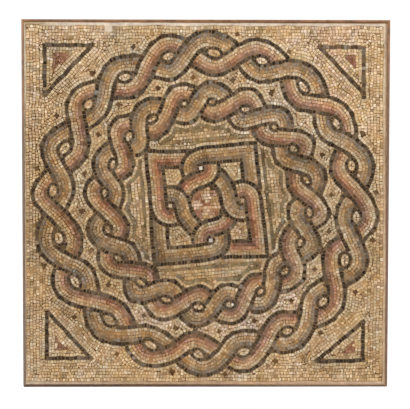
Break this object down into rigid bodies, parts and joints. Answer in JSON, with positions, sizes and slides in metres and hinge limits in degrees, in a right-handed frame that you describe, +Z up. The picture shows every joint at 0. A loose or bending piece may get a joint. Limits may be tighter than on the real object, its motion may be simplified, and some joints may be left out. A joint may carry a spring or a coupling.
{
  "type": "mosaic panel",
  "caption": "Square framed floor-mosaic panel of small stones in mortar, with interlaced guilloche rings around a knotted square and corner triangles, for fixing upright to a wall.",
  "frame": {"origin": "centre of the panel's flat back face, where it bears on the wall", "axes": "+Z up the panel, +X to the viewer's right as the mosaic is looked at, +Y into the wall; the mosaic faces -Y"},
  "size_m": [1.1, 0.05, 1.103],
  "materials": {
    "cement_slab": "cast cement with sand, matt",
    "lime_mortar": "pale lime mortar, trowelled, matt and a little dirty",
    "tesserae": "hand-cut limestone and terracotta cubes, rubbed smooth, worn",
    "iron": "brown rust patina on flat bar"
  },
  "bodies": {
    "root": {"backing_slab": "cement_slab", "setting_mortar": "lime_mortar", "tessellatum": "tesserae", "frame_top": "iron", "frame_bottom": "iron", "frame_left": "iron", "frame_right": "iron"}
  },
  "joints": []
}
